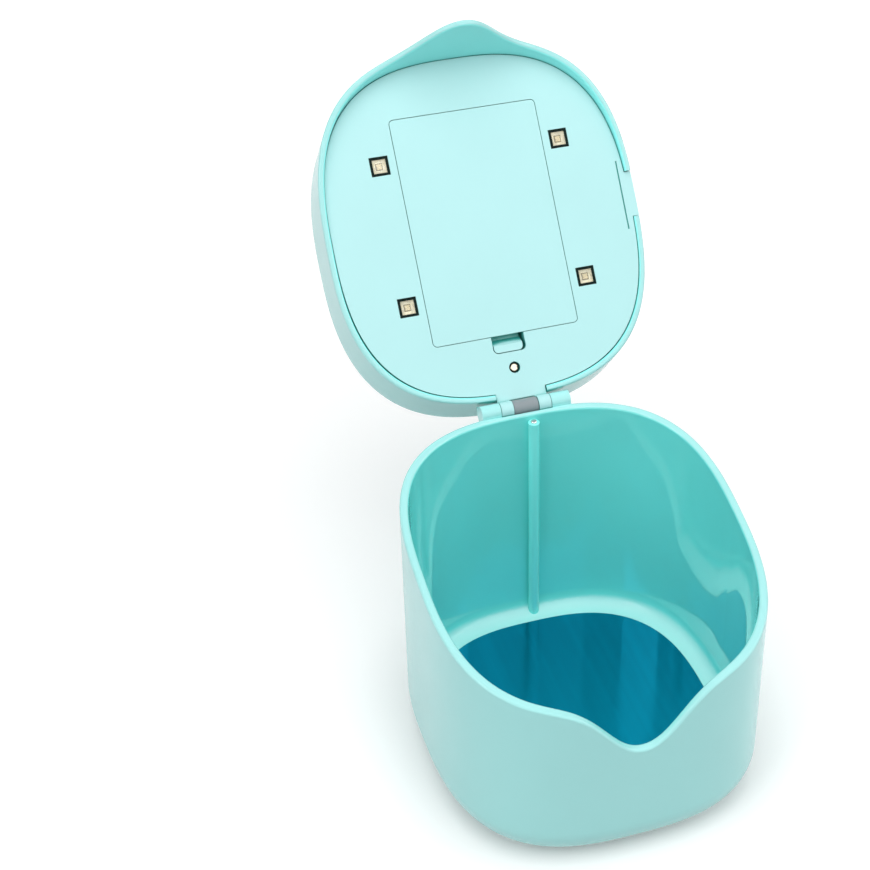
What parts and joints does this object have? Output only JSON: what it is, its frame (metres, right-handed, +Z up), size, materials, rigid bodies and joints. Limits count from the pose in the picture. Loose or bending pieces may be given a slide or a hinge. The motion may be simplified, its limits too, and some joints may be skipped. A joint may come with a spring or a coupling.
{
  "type": "pacifier sterilizer case",
  "caption": "Rounded pocket case whose tilted hinged lid holds ultraviolet lamps over a deep bowl with a mirror floor and a notched front rim.",
  "frame": {"origin": "centre of the underside of the base pad, on the surface that the case stands on", "axes": "+Z up, -Y towards the notched front rim, +Y towards the hinge, +X towards the side with the charging port"},
  "size_m": [0.076, 0.1478, 0.1439],
  "materials": {
    "base_mint": "glossy",
    "lid_mint": "glossy",
    "panel_mint": "satin",
    "button_mint": "satin",
    "pad_rubber": "matt",
    "mirror_blue": "polished",
    "hinge_steel": "satin",
    "magnet_plating": "polished",
    "yellow_zinc": "satin",
    "board_green": "satin",
    "screw_steel": "satin",
    "pin_gold": "satin",
    "chip_black": "matt",
    "ferrite_grey": "matt",
    "capacitor_tan": "satin",
    "indicator_body": "glossy",
    "lens_milk": "glossy",
    "switch_black": "matt",
    "plunger_white": "satin",
    "socket_metal": "satin",
    "lamp_gold": "satin",
    "quartz": "polished",
    "gasket_black": "matt",
    "cell_can": "satin",
    "spring_steel": "satin"
  },
  "bodies": {
    "base": {"base_shell": "base_mint", "base_pad": "pad_rubber", "mirror_plate": "mirror_blue", "switch_magnet": "magnet_plating", "hinge_pin": "hinge_steel", "hinge_bush": "hinge_steel"},
    "lid": {"lid_shell": "lid_mint", "lid_panel": "panel_mint", "panel_screw": "yellow_zinc", "main_board": "board_green", "board_screws": "screw_steel", "left_lamp_board": "board_green", "right_lamp_board": "board_green", "left_header_pins": "pin_gold", "right_header_pins": "pin_gold", "control_chip": "chip_black", "boost_inductor": "ferrite_grey", "board_capacitors": "capacitor_tan", "lid_sensor": "chip_black", "indicator_lamp": "indicator_body", "indicator_lens": "lens_milk", "push_switch": "switch_black", "usb_socket": "socket_metal", "usb_tongue": "switch_black", "uv_lamp_1": "lamp_gold", "lamp_glass_1": "quartz", "lamp_gasket_1": "gasket_black", "contact_plate_1": "spring_steel", "uv_lamp_2": "lamp_gold", "lamp_glass_2": "quartz", "lamp_gasket_2": "gasket_black", "contact_plate_2": "spring_steel", "uv_lamp_3": "lamp_gold", "lamp_glass_3": "quartz", "lamp_gasket_3": "gasket_black", "contact_plate_3": "spring_steel", "uv_lamp_4": "lamp_gold", "lamp_glass_4": "quartz", "lamp_gasket_4": "gasket_black", "contact_plate_4": "spring_steel", "aaa_cell_1": "cell_can", "cell_spring_1": "spring_steel", "aaa_cell_2": "cell_can", "cell_spring_2": "spring_steel", "aaa_cell_3": "cell_can", "cell_spring_3": "spring_steel"},
    "battery_door": {"battery_door": "panel_mint"},
    "power_button": {"power_button": "button_mint", "switch_plunger": "plunger_white"}
  },
  "joints": [
    {"name": "lid_hinge", "type": "hinge", "parent": "base", "child": "lid", "pos_m": [0, 0.0421, 0.06555], "axis": [1, 0, 0], "range_deg": [0, 139.5]},
    {"name": "battery_door_hinge", "type": "hinge", "parent": "lid", "child": "battery_door", "pos_m": [0, 0.08679, 0.12021], "axis": [-1, 0, 0], "range_deg": [0, 40]},
    {"name": "power_button_slide", "type": "slide", "parent": "lid", "child": "power_button", "axis": [0, -0.7826, 0.6225], "range_m": [0, 0.0004], "stiffness_N_per_m": 1500}
  ]
}
